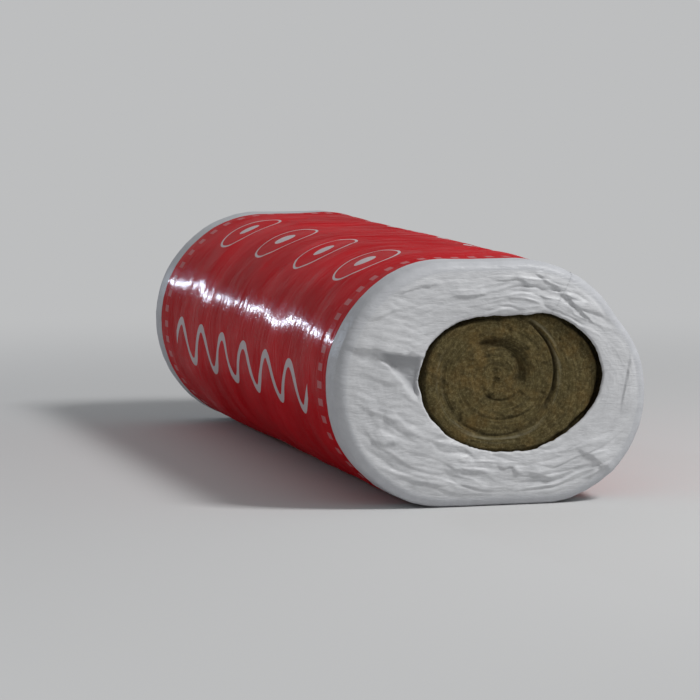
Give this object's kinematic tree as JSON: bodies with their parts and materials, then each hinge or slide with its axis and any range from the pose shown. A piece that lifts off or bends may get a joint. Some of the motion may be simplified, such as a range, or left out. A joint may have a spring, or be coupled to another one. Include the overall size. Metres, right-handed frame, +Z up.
{
  "type": "rolled mineral wool mat",
  "caption": "Roll of mineral wool mat on its side in glossy red film; the film's white ends are tucked in round an eye that shows the spiral turns.",
  "frame": {"origin": "middle of the underside, on the floor that the roll lies on", "axes": "+Z up, +Y along the roll's axis from its near end to its far end, +X to the right as seen from the near end"},
  "size_m": [0.4106, 1.004, 0.3106],
  "materials": {
    "wool": "matte, fibrous, pressed in layers",
    "film": "thin glossy film, printed red with bare milky white ends, finely wrinkled"
  },
  "bodies": {
    "root": {"wool_roll": "wool", "film_wrap": "film"}
  },
  "joints": []
}
